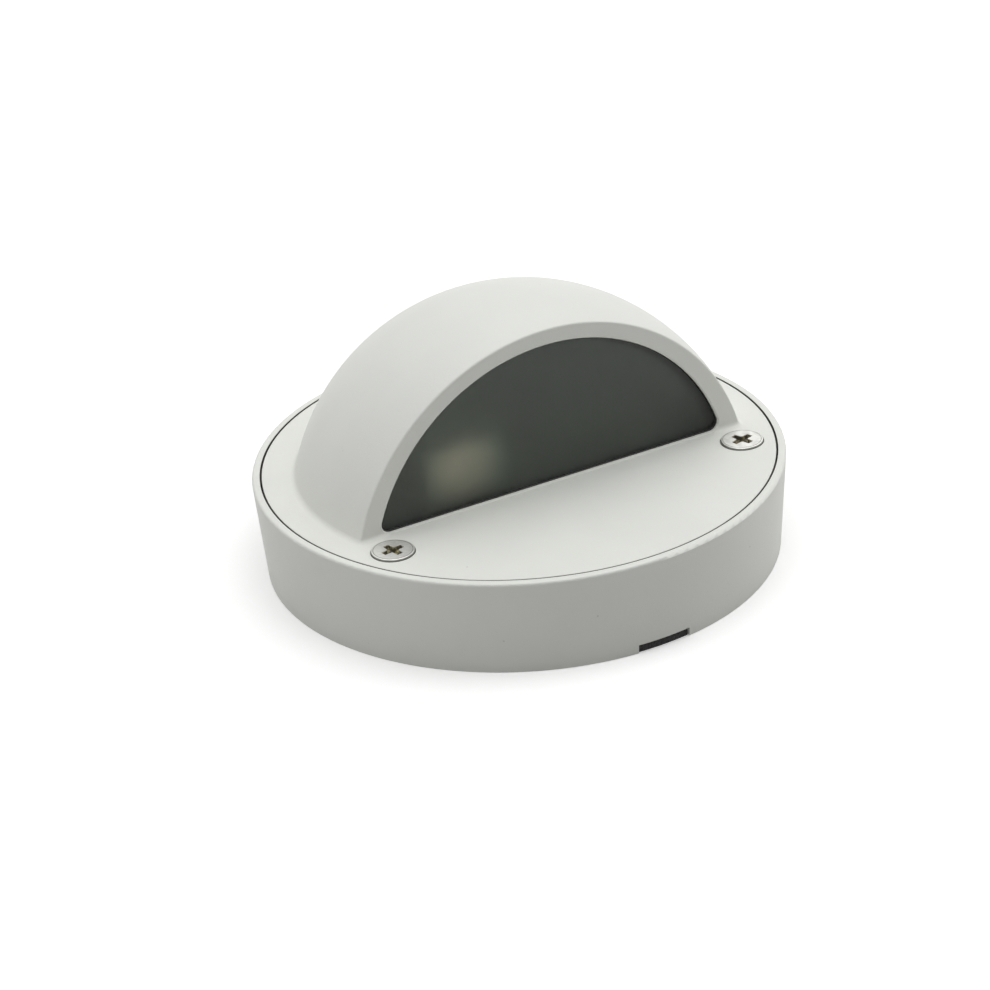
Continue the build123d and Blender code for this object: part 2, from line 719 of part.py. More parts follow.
def make_lamp_filament():
    """Filament and its two legs, on the inner end of the pinch."""
    start = lamp_start + pinch_length + pinch_root
    half = filament_width / 2
    end = start + filament_length
    left = holder_y - half
    right = holder_y + half
    path = FilletPolyline((start, left, lamp_z), (end, left, lamp_z), (end, right, lamp_z),
                          (start, right, lamp_z), radius=filament_bend)
    return sweep(Plane(origin=path @ 0, z_dir=path % 0) * Circle(filament_radius), path=path)


# ------------------------------------------------------------ cover body
def make_cover_hood():
    """Cast cover: round plate, quarter-sphere hood, flat face with the window, pads and bores."""
    keep = block(-hood_radius, hood_radius, face_y, hood_radius, cover_under, hood_z + hood_radius)
    # the ball's seam is turned to the front, where the flat face cuts it off
    hood = (Pos(0, hood_y, hood_z) * Rot(0, 0, -90) * Sphere(hood_radius)) & keep
    hood = fillet(circle_edges_facing(hood, face_arc_radius, face_y), hood_edge_round)
    cover = disc(cover_radius, cover_under, base_height) + hood
    cover = fillet(foot_edges(cover), hood_foot_round)
    cover = fillet(circle_edges(cover, cover_radius, base_height), cover_edge_round)
    web_back = face_y + web_thickness
    space = block(-hood_radius, hood_radius, web_back, hood_radius, cover_under, hood_z + hood_radius)
    cover -= (Pos(0, hood_y, hood_z) * Sphere(hood_radius - hood_wall)) & space
    cover -= window_prism(0, face_y, web_back)
    cover -= window_prism(window_flare, face_y - web_thickness, face_y)
    cover -= loft([window_face(window_flare, face_y), window_face(0, face_y + window_flare)])
    cover -= window_prism(glass_overlap + glass_clearance, seal_front, channel_end())
    inside = disc(inner_radius - hole_clearance, pad_level, base_height)
    for side in (-1, 1):
        cover += disc(boss_radius + boss_clearance, pad_level, cover_under, side * screw_x, screw_y) & inside
        cover -= disc(cover_screw_head_radius + head_clearance, counterbore_level, base_height,
                      side * screw_x, screw_y)
        cover -= disc(cover_screw_radius + hole_clearance, pad_level, counterbore_level,
                      side * screw_x, screw_y)
        pad = disc(retainer_pad_radius, retainer_pad_level, cover_under, side * pad_x, pad_y)
        cover += pad
        cover -= disc(small_screw_radius + running_clearance, retainer_pad_level,
                      cover_under + pad_bore_depth, side * pad_x, pad_y)
    return cover


def foot_edges(cover):
    """Edges where the hood stands on the cover plate."""
    found = []
    for edge in cover.edges():
        middle = edge @ 0.5
        reach = math.hypot(middle.X, middle.Y)
        if abs(middle.Z - base_height) < 0.01 and reach < hood_foot + hood_margin / 2:
            found.append(edge)
    return found


def channel_end():
    """Depth at which the glass channel runs out into the hollow of the hood."""
    top = window_arc_z + window_arc_radius + glass_overlap + glass_clearance - hood_z
    room = (hood_radius - hood_wall) ** 2 - top ** 2
    return max(hood_y - math.sqrt(max(room, 0.0)) + channel_overrun, retainer_front + retainer_thickness)


def make_window_glass():
    """Frosted half-moon pane."""
    return window_prism(glass_overlap, glass_front, glass_front + glass_thickness)


def make_window_seal():
    """Thin seal between the face's lip and the glass."""
    outer = window_prism(glass_overlap, seal_front, glass_front)
    return outer - window_prism(-window_seal_reveal, seal_front, glass_front)


def make_glass_retainer():
    """Arched strip behind the glass, with a foot bent under the pad at each side."""
    outer = window_arc_radius + glass_overlap
    inner = outer - retainer_width
    back = retainer_front + retainer_thickness
    band = Cylinder(outer, retainer_thickness) - Cylinder(inner, retainer_thickness)
    band = Pos(0, retainer_front + retainer_thickness / 2, window_arc_z) * Rot(90, 0, 0) * band
    band &= block(-outer, outer, retainer_front, back, retainer_tab_level, window_arc_z + outer)
    leg = math.sqrt(inner ** 2 - (retainer_tab_level - window_arc_z) ** 2) - retainer_leg_lap
    inside = disc(inner_radius - 2 * hole_clearance, retainer_tab_level, retainer_pad_level)
    for side in (-1, 1):
        near, far = sorted((side * leg, side * inner_radius))
        tab = block(near, far, retainer_front, retainer_front + retainer_tab_length,
                    retainer_tab_level, retainer_pad_level) & inside
        band += tab
        band -= disc(small_screw_radius + hole_clearance, retainer_tab_level, retainer_pad_level,
                     side * pad_x, pad_y)
    return band


def make_retainer_screws():
    """Screw under each foot of the retainer, up into its pad."""
    length = retainer_thickness + retainer_pad_height
    return [small_screw(side * pad_x, pad_y, retainer_tab_level, length, up=-1) for side in (-1, 1)]


def make_screw_washer(side):
    """Black sealing washer in the counterbore, under the head."""
    return ring(cover_screw_head_radius - washer_inset, cover_screw_radius + 2 * running_clearance,
                counterbore_level, head_under, side * screw_x, screw_y)


def make_cover_screw(side, angle):
    """Raised-head screw with a cross recess."""
    x = side * screw_x
    top = base_height + cover_screw_proud
    head = disc(cover_screw_head_radius, head_under, top, x, screw_y)
    head = fillet(circle_edges(head, cover_screw_head_radius, top), cover_screw_crown)
    tip = head_under - cover_screw_length
    shank = disc(cover_screw_radius, tip, head_under, x, screw_y)
    shank = chamfer(circle_edges(shank, cover_screw_radius, tip), cover_screw_point)
    return head + shank - cross_recess(cover_screw_head_radius, cover_screw_head_height * recess_share,
                                       top, x, screw_y, angle)


# ------------------------------------------------------------ all pieces
def make_all():
    """Every node and its solid, or its group of solids."""
    return {
        "base_casing": make_base_casing(),
        "wall_gasket": make_wall_gasket(),
        "cable_grommet": make_cable_grommet(),
        "cover_gasket": make_cover_gasket(),
        "reflector_tray": make_reflector_tray(),
        "tray_screws": make_tray_screws(),
        "holder_bracket": make_holder_bracket(),
        "bracket_rivets": make_bracket_rivets(),
        "lampholder": make_lampholder(),
        "lamp_contacts": make_lamp_contacts(),
        "holder_screws": make_holder_screws(),
        "terminal_block": make_terminal_block(),
        "terminal_barrels": make_terminal_barrels(),
        "terminal_screws": make_terminal_screws(),
        "terminal_fixing_screw": make_terminal_fixing_screw(),
        "earth_lug": make_earth_lug(),
        "earth_screw": make_earth_screw(),
        "live_wire": socket_wire(-1, 0, "live_wire"),
        "neutral_wire": socket_wire(1, 1, "neutral_wire"),
        "earth_wire": make_earth_wire(),
        "capsule_lamp": make_capsule_lamp(),
        "lamp_pins": make_lamp_pins(),
        "lamp_filament": make_lamp_filament(),
        "cover_hood": make_cover_hood(),
        "window_glass": make_window_glass(),
        "window_seal": make_window_seal(),
        "glass_retainer": make_glass_retainer(),
        "retainer_screws": make_retainer_screws(),
        "left_screw_washer": make_screw_washer(-1),
        "right_screw_washer": make_screw_washer(1),
        "left_cover_screw": make_cover_screw(-1, cover_screw_turns[0]),
        "right_cover_screw": make_cover_screw(1, cover_screw_turns[1]),
    }


os.makedirs("parts", exist_ok=True)
for name, piece in make_all().items():
    shape = Compound(children=piece) if isinstance(piece, list) else piece
    export_step(shape, "parts/" + name + ".step")
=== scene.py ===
"""Round step light: finishes, threaded screws, coiled filament and a plain studio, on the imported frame."""
import math

import bpy
import numpy as np
from bpy.props import FloatProperty, FloatVectorProperty, IntProperty, PointerProperty
from mathutils import Matrix, Vector


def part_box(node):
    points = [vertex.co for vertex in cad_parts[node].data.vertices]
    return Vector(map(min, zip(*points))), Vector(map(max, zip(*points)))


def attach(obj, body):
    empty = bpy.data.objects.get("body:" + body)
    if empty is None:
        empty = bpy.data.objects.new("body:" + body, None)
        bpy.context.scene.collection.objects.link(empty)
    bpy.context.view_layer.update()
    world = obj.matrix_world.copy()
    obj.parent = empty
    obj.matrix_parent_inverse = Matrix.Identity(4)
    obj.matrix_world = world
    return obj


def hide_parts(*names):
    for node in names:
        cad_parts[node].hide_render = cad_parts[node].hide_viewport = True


bl_info = {
    "name": "Round Step Light",
    "version": (1, 0, 0),
    "blender": (4, 5, 0),
    "location": "3D View > Sidebar > Step Light",
    "description": "Finishes a packed round step light and sets a plain studio round it",
    "category": "Add Mesh",
}

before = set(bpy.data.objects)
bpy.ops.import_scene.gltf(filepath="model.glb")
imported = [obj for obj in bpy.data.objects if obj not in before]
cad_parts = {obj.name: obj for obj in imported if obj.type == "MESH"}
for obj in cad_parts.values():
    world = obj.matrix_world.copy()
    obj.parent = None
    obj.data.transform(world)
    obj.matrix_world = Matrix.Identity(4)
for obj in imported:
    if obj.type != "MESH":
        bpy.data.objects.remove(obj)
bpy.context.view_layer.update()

MM = 0.001
FULL_TURN = 2 * math.pi
UPRIGHT_PLANE = (1.0, 0.0, 1.0)
SMOOTH_BELOW = math.radians(42)
SENSOR_WIDTH = 36.0

# marks, dirt, painted shade and painted highlight on the finishes, and the floor
COAT_SPECK = (0.22, 0.22, 0.20, 1.0)
# painted shade with some dirt inside the gap between cover and rim
GAP_SHADE_AND_DIRT = (0.030, 0.026, 0.020, 1.0)
# black where the seal lies on the pane, and a painted shadow line just beyond the seal
SEAL_AND_SHADOW_BLACK = (0.01, 0.01, 0.01, 1.0)
# painted shade: the dark line round a screw head's crown and the head's darkened side
HEAD_SHADE = (0.09, 0.09, 0.08, 1.0)
# recess colours: dark grease with painted shade, and pale grease with painted highlight
DARK_GREASE_AND_SHADE = (0.045, 0.038, 0.022, 1.0)
PALE_GREASE_AND_HIGHLIGHT = (0.36, 0.32, 0.15, 1.0)
ENAMEL_DUST = (0.25, 0.24, 0.22, 1.0)
IRON_SPECK = (0.22, 0.15, 0.10, 1.0)
FLOOR_WHITE = (0.95, 0.95, 0.95, 1.0)
FLOOR_GREY = (0.55, 0.55, 0.54, 1.0)

# rings and sides of the pieces' grids
SCREW_SIDES = 144
HEAD_RINGS = 76
CROWN_RINGS = 8
SIDE_RINGS = 3
UNDER_RINGS = 4
THREAD_RINGS = 170
POINT_RINGS = 4
TIP_RINGS = 5
POLE_RADIUS = 0.02 * MM
LEG_POINTS = 30
BEND_POINTS = 12
COIL_STEPS = 14
WIRE_SIDES = 6


# ------------------------------------------------------------ sizes and colours
def colour_property(name, description, default):
    """A colour that the user may change."""
    return FloatVectorProperty(name=name, description=description, subtype="COLOR", size=3,
                               min=0.0, max=1.0, default=default)


def length_property(name, description, millimetres):
    """A length that the user may change, written in millimetres."""
    return FloatProperty(name=name, description=description, unit="LENGTH", min=0.0,
                         default=millimetres * MM)


def angle_property(name, description, degrees):
    """An angle that the user may change, written in degrees."""
    return FloatProperty(name=name, description=description, subtype="ANGLE", default=math.radians(degrees))


class StepLightSizes(bpy.types.PropertyGroup):
    """Sizes of the pieces that are shaped here."""
    head_height: length_property("Head height", "Height of a cover screw's head", 2.35)
    head_crown: length_property("Head crown", "Rounding of the head's upper edge", 0.25)
    shank_radius: length_property("Shank radius", "Outside radius of the thread", 2.5)
    thread_pitch: length_property("Thread pitch", "Rise of the thread in one turn", 0.8)
    thread_depth: length_property("Thread depth", "Depth of the thread's groove", 0.45)
    screw_point: length_property("Screw point", "Bevel at the screw's tip", 0.6)
    recess_depth: length_property("Recess depth", "Depth of the cross recess", 1.3)
    recess_reach: length_property("Recess reach", "Reach of a recess arm from the middle", 2.42)
    recess_arm: length_property("Recess arm", "Width of a recess arm", 1.5)
    recess_core: length_property("Recess core", "Radius of the recess's round middle", 1.2)
    left_turn: angle_property("Left screw's turn", "Where the left screw's recess points", 10.0)
    right_turn: angle_property("Right screw's turn", "Where the right screw's recess points", 16.0)
    gap_width: length_property("Gap width", "Open gap between the cover and the rim", 0.4)
    # the patch is a painted pale spot of light standing in for the lamp seen through the frosted pane, not a
    # clearer part of the glass
    patch_side: FloatProperty(name="Patch side", description="Sideways place of the pane's clearer patch",
                              unit="LENGTH", default=-19.2 * MM)
    patch_rise: length_property("Patch rise", "Clearer patch, above the pane's lower edge", 9.6)
    pane_arc: length_property("Pane arc", "Radius of the pane's round edge", 43.145)
    pane_hold: length_property("Pane hold", "Edge of the pane that lies behind the face", 1.4)
    # width of the painted shadow line seen round the pane, beyond the seal
    seal_and_shadow_line: length_property("Seal line", "Seal seen round the pane", 0.22)
    coil_wire: length_property("Coil wire", "Radius of the filament's wire", 0.06)
    coil_turns: IntProperty(name="Coil turns", description="Turns of the filament", min=4, max=100,
                            default=44)
    coil_bend: length_property("Coil bend", "Bend of the filament's path", 1.5)


class StepLightColours(bpy.types.PropertyGroup):
    """Colours of the finishes."""
    coat: colour_property("Powder coat", "Cup and cover", (0.80, 0.81, 0.765))
    glass: colour_property("Window glass", "Tint of the frosted pane", (0.35, 0.40, 0.35))
    # colour of the painted pale spot that stands in for the lamp seen through the pane
    patch: colour_property("Glass patch", "Tint where the pane is clearer", (0.66, 0.65, 0.57))
    rubber: colour_property("Rubber", "Seals, washers and grommet", (0.022, 0.022, 0.021))
    foam: colour_property("Foam", "Wall gasket", (0.028, 0.029, 0.028))
    screw_steel: colour_property("Cover screws", "Turned stainless steel", (0.70, 0.70, 0.67))
    zinc: colour_property("Zinc plate", "Bracket, retainer and small screws", (0.60, 0.60, 0.57))
    enamel: colour_property("Enamel", "Reflector tray", (0.72, 0.72, 0.69))
    ceramic: colour_property("Ceramic", "Lampholder", (0.80, 0.79, 0.73))
    nickel: colour_property("Nickel", "Contacts and lamp pins", (0.62, 0.60, 0.55))
    quartz: colour_property("Quartz", "Capsule lamp", (0.95, 0.96, 0.96))
    tungsten: colour_property("Tungsten", "Filament", (0.22, 0.22, 0.23))
    nylon: colour_property("Nylon", "Terminal block", (0.70, 0.70, 0.65))
    brass: colour_property("Brass", "Terminals and earth screw", (0.66, 0.46, 0.19))
    tin: colour_property("Tinned copper", "Earth lug", (0.66, 0.65, 0.62))
    brown: colour_property("Brown sleeve", "Live lead", (0.115, 0.042, 0.018))
    blue: colour_property("Blue sleeve", "Neutral lead", (0.018, 0.065, 0.27))
    green: colour_property("Green sleeve", "Earth lead", (0.045, 0.22, 0.04))
    yellow: colour_property("Yellow stripe", "Earth lead's stripe", (0.75, 0.55, 0.04))


class StepLightStudio(bpy.types.PropertyGroup):
    """Camera and light."""
    focal: FloatProperty(name="Focal length", description="Lens, on a 36 mm sensor", unit="CAMERA",
                         default=155.55)
    azimuth: angle_property("Azimuth", "Camera's turn about the upright", -27.85)
    elevation: angle_property("Elevation", "Camera's height angle", 27.19)
    roll: angle_property("Roll", "Camera's turn about its own line of sight", -3.89)
    distance: length_property("Distance", "Camera to the middle of the wall face", 888.77)
    aside: FloatProperty(name="Aside", description="Camera's place along its own right", unit="LENGTH",
                         default=-6.06 * MM)
    above: FloatProperty(name="Above", description="Camera's place along its own up", unit="LENGTH",
                         default=10.4 * MM)
    key: FloatProperty(name="Key", description="Overhead light", min=0.0, default=1.71)
    front: FloatProperty(name="Front", description="Overhead light from the front", min=0.0, default=0.57)
    left: FloatProperty(name="Left", description="Light from the left", min=0.0, default=0.52)
    right: FloatProperty(name="Right", description="Light from the right", min=0.0, default=0.82)
    sky: FloatProperty(name="Sky", description="Even light from all round", min=0.0, default=0.06)
    floor_glow: FloatProperty(name="Floor glow", description="Light of the floor to the camera",
                              min=0.0, max=1.0, default=0.25)


# ------------------------------------------------------------ shader expressions
class Value:
    """A number in a node tree; arithmetic on it adds Math nodes."""

    def __init__(self, graph, socket):
        self.graph = graph
        self.socket = socket

    def math(self, operation, *others):
        """This value and others through one Math node."""
        node = self.graph.add("ShaderNodeMath", {"operation": operation}, [self, *others])
        return node.value(0)

    def __add__(self, other):
        return self.math("ADD", other)

    def __sub__(self, other):
        return self.math("SUBTRACT", other)

    def __mul__(self, other):
        return self.math("MULTIPLY", other)

    def __rsub__(self, other):
        return self.graph.add("ShaderNodeMath", {"operation": "SUBTRACT"}, [other, self]).value(0)

    __radd__ = __add__
    __rmul__ = __mul__

    def above(self, edge, softness):
        """0 below an edge and 1 above it, with a soft step."""
        node = self.graph.add("ShaderNodeMapRange", {"interpolation_type": "SMOOTHSTEP"},
                              {"Value": self, "From Min": edge - softness, "From Max": edge + softness})
        return node.value("Result")


class Added:
    """A node that was added, whose outputs are taken as values."""

    def __init__(self, graph, node):
        self.graph = graph
        self.node = node

    def value(self, output):
        """One output, by its name or number."""
        return Value(self.graph, self.node.outputs[output])


class Graph:
    """One material's or world's node tree."""

    def __init__(self, tree):
        self.tree = tree
        tree.nodes.clear()

    def add(self, kind, settings=None, inputs=None):
        """A node of a kind, with its settings made first, then the values or links of its sockets."""
        node = self.tree.nodes.new(kind)
        for name, setting in (settings or {}).items():
            setattr(node, name, setting)
        pairs = enumerate(inputs) if isinstance(inputs, list) else (inputs or {}).items()
        for key, given in pairs:
            if isinstance(given, Value):
                self.tree.links.new(given.socket, node.inputs[key])
            else:
                node.inputs[key].default_value = given
        return Added(self, node)

    def place(self, stretch=(1.0, 1.0, 1.0), centre=(0.0, 0.0, 0.0)):
        """Object coordinates about a centre, stretched along each axis."""
        coordinates = self.add("ShaderNodeTexCoord").value("Object")
        moved = self.add("ShaderNodeVectorMath", {"operation": "SUBTRACT"}, [coordinates, tuple(centre)])
        return self.add("ShaderNodeVectorMath", {"operation": "MULTIPLY"},
                        [moved.value(0), tuple(stretch)]).value(0)

    def reach(self, centre=(0.0, 0.0, 0.0), across=(1.0, 1.0, 0.0)):
        """Distance from an axis through a centre, upright unless other ways across are given."""
        flat = self.place(across, centre)
        return self.add("ShaderNodeVectorMath", {"operation": "LENGTH"}, [flat]).value(1)

    def level(self, centre=(0.0, 0.0, 0.0)):
        """Height above a centre."""
        return self.add("ShaderNodeSeparateXYZ", None, [self.place(centre=centre)]).value("Z")

    def noise(self, scale, detail=3.0, where=None):
        """Cloudy noise with so many cells in a metre."""
        inputs = {"Scale": scale, "Detail": detail, "Vector": where or self.place()}
        return self.add("ShaderNodeTexNoise", None, inputs).value(0)

    def specks(self, spacing, size):
        """1 in small round specks, and 0 elsewhere."""
        inputs = {"Scale": 1.0 / spacing, "Vector": self.place()}
        near = self.add("ShaderNodeTexVoronoi", None, inputs).value("Distance")
        return 1.0 - near.above(size / spacing, 0.25 * size / spacing)

    def blend(self, share, first, second):
        """Two colours, mixed by a share."""
        return self.add("ShaderNodeMix", {"data_type": "RGBA"}, {0: share, 6: first, 7: second}).value(2)

    def bump(self, height, depth):
        """A normal that follows a height, of so many metres for one unit."""
        return self.add("ShaderNodeBump", None, {"Height": height, "Distance": depth}).value(0)


def rgba(colour):
    """A colour with its alpha."""
    return (*colour, 1.0)


def shade(colour, factor):
    """A colour made darker or lighter."""
    return (*[min(1.0, part * factor) for part in colour], 1.0)


def surface_material(name, paint):
    """A material whose shader settings and sockets come from a function of its graph."""
    material = bpy.data.materials.new(name)
    material.use_nodes = True
    graph = Graph(material.node_tree)
    shader = graph.add("ShaderNodeBsdfPrincipled", None, paint(graph))
    graph.add("ShaderNodeOutputMaterial", None, {"Surface": shader.value(0)})
    return material


# ------------------------------------------------------------ finishes
def powder_coat(colours, gap_start, gap_end, gap_low, gap_top):
    """Off-white powder coat: fine grain over soft waves, faint clouding, a few specks, and painted shade
    with some dirt in the ring-shaped gap between two radii and two levels, darkest near its top."""
    def paint(graph):
        grain = graph.noise(2600.0, 2.0)
        waves = graph.noise(420.0, 2.0)
        clouds = graph.noise(55.0, 4.0).above(0.52, 0.16)
        mark = graph.specks(10.5 * MM, 0.18 * MM) * 0.3 + graph.specks(4.1 * MM, 0.09 * MM) * 0.2
        reach = graph.reach()
        level = graph.level()
        edge = 0.04 * MM
        gap = reach.above(gap_start - 3 * edge, edge) - reach.above(gap_end + 3 * edge, edge)
        uneven = level + graph.noise(45.0) * (0.16 * MM)
        depth = level.above(gap_low - edge, edge) - uneven.above(gap_top - 0.02 * MM, 0.08 * MM)
        # painted shade with some dirt on the gap's walls: darker towards the top of the gap, fainter lower
        # down
        gap_shade_and_dirt = gap * depth * (0.25 + level.above(gap_top - 1.2 * MM, 0.9 * MM) * 0.7 - grain * 0.1)
        body = graph.blend(clouds * 0.5, rgba(colours.coat), shade(colours.coat, 0.955))
        marked = graph.blend(mark, body, COAT_SPECK)
        return {
            "Base Color": graph.blend(gap_shade_and_dirt, marked, GAP_SHADE_AND_DIRT),
            "Roughness": 0.44 + grain * 0.16,
            "Normal": graph.bump(grain * 0.6 + waves * 0.4, 0.06 * MM),
            "Specular IOR Level": 0.5,
        }
    return surface_material("powder_coat", paint)


def window_glass(colours, patch, arc, arc_edge, low_edge):
    """Dark frosted pane: an etched face, slightly uneven, with a painted pale round spot standing in for the
    lamp seen through it, and black outside an arc about a centre and below a level, where the seal lies on it
    and as a painted shadow line beyond."""
    def paint(graph):
        etch = graph.noise(3200.0, 2.0)
        away = graph.reach(patch, UPRIGHT_PLANE)
        tint = graph.blend(graph.noise(60.0).above(0.5, 0.2) * 0.25, rgba(colours.glass),
                           shade(colours.glass, 0.9))
        # painted light: a pale spot standing in for the lamp seen through the frosted pane
        clear = graph.blend(away.above(6.2 * MM, 3.6 * MM), rgba(colours.patch), tint)
        level = graph.level()
        # black on the pane's edge: the seal where it lies on the pane, and a painted shadow line a little
        # beyond it
        sealed_and_shaded = graph.reach(arc, UPRIGHT_PLANE).above(arc_edge, 0.06 * MM)
        sealed_and_shaded = sealed_and_shaded.math("MAXIMUM", 1.0 - level.above(low_edge, 0.06 * MM))
        return {
            "Base Color": graph.blend(sealed_and_shaded * 0.9, clear, SEAL_AND_SHADOW_BLACK),
            "Roughness": 0.40 + etch * 0.10,
            "Normal": graph.bump(etch, 0.008 * MM),
            "Transmission Weight": 0.97,
            "IOR": 1.46,
        }
    return surface_material("window_glass", paint)


def black_rubber(colours):
    """Matt moulded rubber with a fine bloom."""
    def paint(graph):
        bloom = graph.noise(900.0)
        return {
            "Base Color": graph.blend(bloom.above(0.55, 0.15) * 0.4, rgba(colours.rubber),
                                      shade(colours.rubber, 1.9)),
            "Roughness": 0.62 + bloom * 0.2,
            "Normal": graph.bump(graph.noise(3000.0), 0.03 * MM),
        }
    return surface_material("black_rubber", paint)


def foam(colours):
    """Closed-cell foam: round pores of two sizes."""
    def paint(graph):
        pores = graph.specks(0.9 * MM, 0.34 * MM) + graph.specks(0.5 * MM, 0.17 * MM) * 0.6
        return {
            "Base Color": graph.blend(pores * 0.6, shade(colours.foam, 1.25), shade(colours.foam, 0.4)),
            "Roughness": 0.92 - graph.noise(800.0) * 0.1,
            "Normal": graph.bump(1.0 - pores, 0.12 * MM),
        }
    return surface_material("foam", paint)


def turned_steel(name, colour, centre, head_radius, top, recess_reach, recess_depth):
    """Screw steel: fine rings about an upright axis, stains, a painted shade line round the top and painted
    shade on the head's side, and painted shade with old grease and paler painted-highlight patches in the
    recess."""
    def paint(graph):
        reach = graph.reach(centre)
        rings = graph.noise(1.0, 2.0, graph.add("ShaderNodeCombineXYZ", None,
                                                [reach * 9000.0, 0.0, 0.0]).value(0))
        stain = graph.noise(520.0, 4.0).above(0.52, 0.14)
        level = graph.level()
        # painted shade line round the crown of the head
        line = reach.above(head_radius - 0.50 * MM, 0.05 * MM)
        line -= reach.above(head_radius - 0.34 * MM, 0.05 * MM)
        # painted shade on the head's side
        side = reach.above(head_radius - 0.09 * MM, 0.04 * MM)
        # painted shade in the cross recess, with old grease in it
        recess_shade = level.above(top - recess_depth - 0.1 * MM, 0.05 * MM) - level.above(top - 0.16 * MM, 0.08 * MM)
        recess_shade *= 1.0 - reach.above(recess_reach + 0.25 * MM, 0.05 * MM)
        old = graph.noise(900.0, 3.0).above(0.52, 0.10)
        # dark patches are grease with painted shade, pale patches are grease with painted highlight
        grease_shade_and_highlight = graph.blend(old, DARK_GREASE_AND_SHADE, PALE_GREASE_AND_HIGHLIGHT)
        bare = graph.blend(stain * 0.6, rgba(colour), shade(colour, 0.70))
        shaded_head = graph.blend(line * 0.6 + side * 0.75, bare, HEAD_SHADE)
        return {
            "Base Color": graph.blend(recess_shade * 0.95, shaded_head, grease_shade_and_highlight),
            "Metallic": 0.85 - stain * 0.2 - recess_shade * 0.6,
            "Roughness": 0.38 + rings * 0.14 + stain * 0.12 + recess_shade * 0.1,
            "Normal": graph.bump(rings, 0.02 * MM),
        }
    return surface_material(name, paint)


def rolled_metal(name, colour, roughness, streak=(1.0, 9.0, 9.0)):
    """Plated sheet or wire: fine streaks along one way, with dull patches."""
    def paint(graph):
        lines = graph.noise(700.0, 3.0, graph.place(streak))
        dull = graph.noise(240.0, 4.0).above(0.55, 0.14)
        return {
            "Base Color": graph.blend(dull * 0.5, rgba(colour), shade(colour, 0.78)),
            "Metallic": 1.0 - dull * 0.08,
            "Roughness": roughness + lines * 0.14 + dull * 0.12,
            "Normal": graph.bump(lines, 0.012 * MM),
        }
    return surface_material(name, paint)


def enamel(colours):
    """White enamel on sheet steel: glossy, slightly wavy, with small chips of dust."""
    def paint(graph):
        waves = graph.noise(160.0, 2.0)
        dust = graph.specks(6.0 * MM, 0.16 * MM) * 0.5
        return {
            "Base Color": graph.blend(dust, rgba(colours.enamel), ENAMEL_DUST),
            "Roughness": 0.24 + waves * 0.12,
            "Normal": graph.bump(waves, 0.12 * MM),
            "Coat Weight": 0.2,
        }
    return surface_material("enamel", paint)


def ceramic(colours):
    """Unglazed ceramic: chalky grain and small iron specks."""
    def paint(graph):
        grain = graph.noise(2200.0, 3.0)
        iron = graph.specks(2.4 * MM, 0.11 * MM) * 0.6
        body = graph.blend(graph.noise(220.0).above(0.5, 0.2) * 0.5, rgba(colours.ceramic),
                           shade(colours.ceramic, 0.92))
        return {
            "Base Color": graph.blend(iron, body, IRON_SPECK),
            "Roughness": 0.66 + grain * 0.2,
            "Normal": graph.bump(grain, 0.04 * MM),
        }
    return surface_material("ceramic", paint)


def quartz(colours):
    """Clear quartz bulb with faint drawing lines."""
    def paint(graph):
        lines = graph.noise(160.0, 2.0, graph.place((1.0, 14.0, 14.0)))
        return {
            "Base Color": rgba(colours.quartz),
            "Roughness": 0.02 + lines * 0.03,
            "Normal": graph.bump(lines, 0.01 * MM),
            "Transmission Weight": 1.0,
            "IOR": 1.46,
        }
    return surface_material("quartz", paint)


def nylon(colours):
    """Natural nylon: waxy, with a fine moulded grain."""
    def paint(graph):
        grain = graph.noise(1700.0, 2.0)
        return {
            "Base Color": graph.blend(graph.noise(150.0).above(0.5, 0.25) * 0.5, rgba(colours.nylon),
                                      shade(colours.nylon, 0.93)),
            "Roughness": 0.42 + grain * 0.14,
            "Normal": graph.bump(grain, 0.03 * MM),
            "Subsurface Weight": 0.15,
            "Subsurface Radius": (2.0 * MM, 2.0 * MM, 1.5 * MM),
        }
    return surface_material("nylon", paint)


def braided_sleeve(name, colour, stripe=None, centre=(0.0, 0.0, 0.0)):
    """Woven lead sleeve: two crossing sets of ridges, with a lengthwise stripe where one is given."""
    def ridges(graph, stretch):
        return graph.add("ShaderNodeTexWave", {"wave_type": "BANDS", "bands_direction": "X"},
                         {"Vector": graph.place(stretch), "Scale": 420.0, "Distortion": 1.5}).value(1)

    def paint(graph):
        weave = ridges(graph, (1.0, 1.0, 0.6)) * 0.5 + ridges(graph, (1.0, -1.0, -0.6)) * 0.5
        body = rgba(colour)
        if stripe is not None:
            body = graph.blend(graph.level(centre).above(0.0, 0.04 * MM), rgba(colour), rgba(stripe))
        return {
            "Base Color": graph.blend(weave * 0.35, body, shade(colour, 0.45)),
            "Roughness": 0.60 + weave * 0.2,
            "Normal": graph.bump(weave, 0.08 * MM),
        }
    return surface_material(name, paint)


# ------------------------------------------------------------ placing pieces
def finish_nodes(material, record_slot, *nodes):
    """Gives carried-over nodes their finish."""
    for name in nodes:
        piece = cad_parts[name]
        if not piece.material_slots:
            piece.data.materials.append(material)
        for place in piece.material_slots:
            place.material = material


